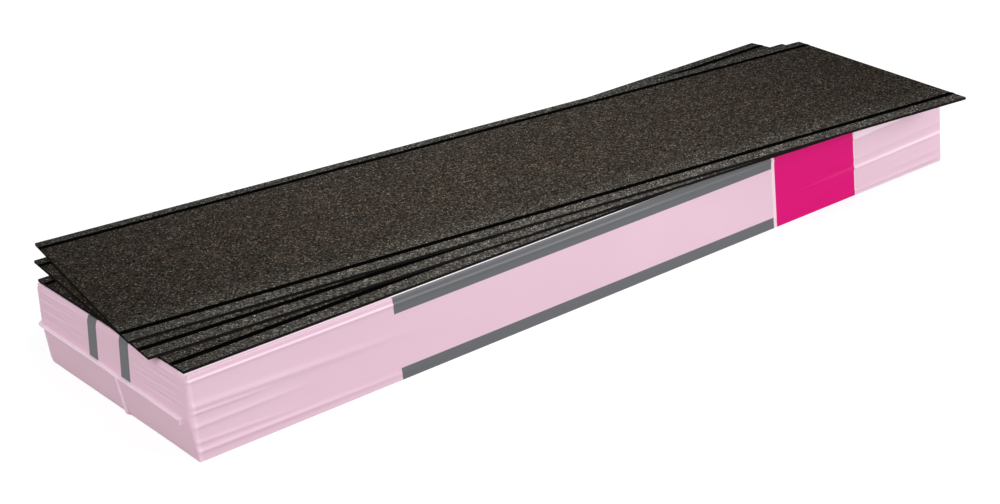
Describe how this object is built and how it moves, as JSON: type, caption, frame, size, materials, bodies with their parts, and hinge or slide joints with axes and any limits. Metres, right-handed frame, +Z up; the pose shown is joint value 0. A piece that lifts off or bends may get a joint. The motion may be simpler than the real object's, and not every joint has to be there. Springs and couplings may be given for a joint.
{
  "type": "asphalt shingle bundle",
  "caption": "Film-wrapped bundle of asphalt starter-strip shingles lying flat, with loose strips fanned on top to show their granules and sealant lines.",
  "frame": {"origin": "middle of the wrapped bundle's underside, on the floor that it lies on", "axes": "+X along the strips, +Y to the back as the picture shows it, +Z up"},
  "size_m": [1.0372, 0.4626, 0.0976],
  "materials": {
    "film": "satin printed film",
    "shingle": "mineral granules in asphalt",
    "sealant": "satin asphalt"
  },
  "bodies": {
    "root": {"wrapper": "film", "wrapped_strips": "shingle", "wrapped_sealant": "sealant", "lower_strip": "shingle", "lower_sealant": "sealant", "middle_strip": "shingle", "middle_sealant": "sealant", "top_strip": "shingle", "top_sealant": "sealant"}
  },
  "joints": []
}
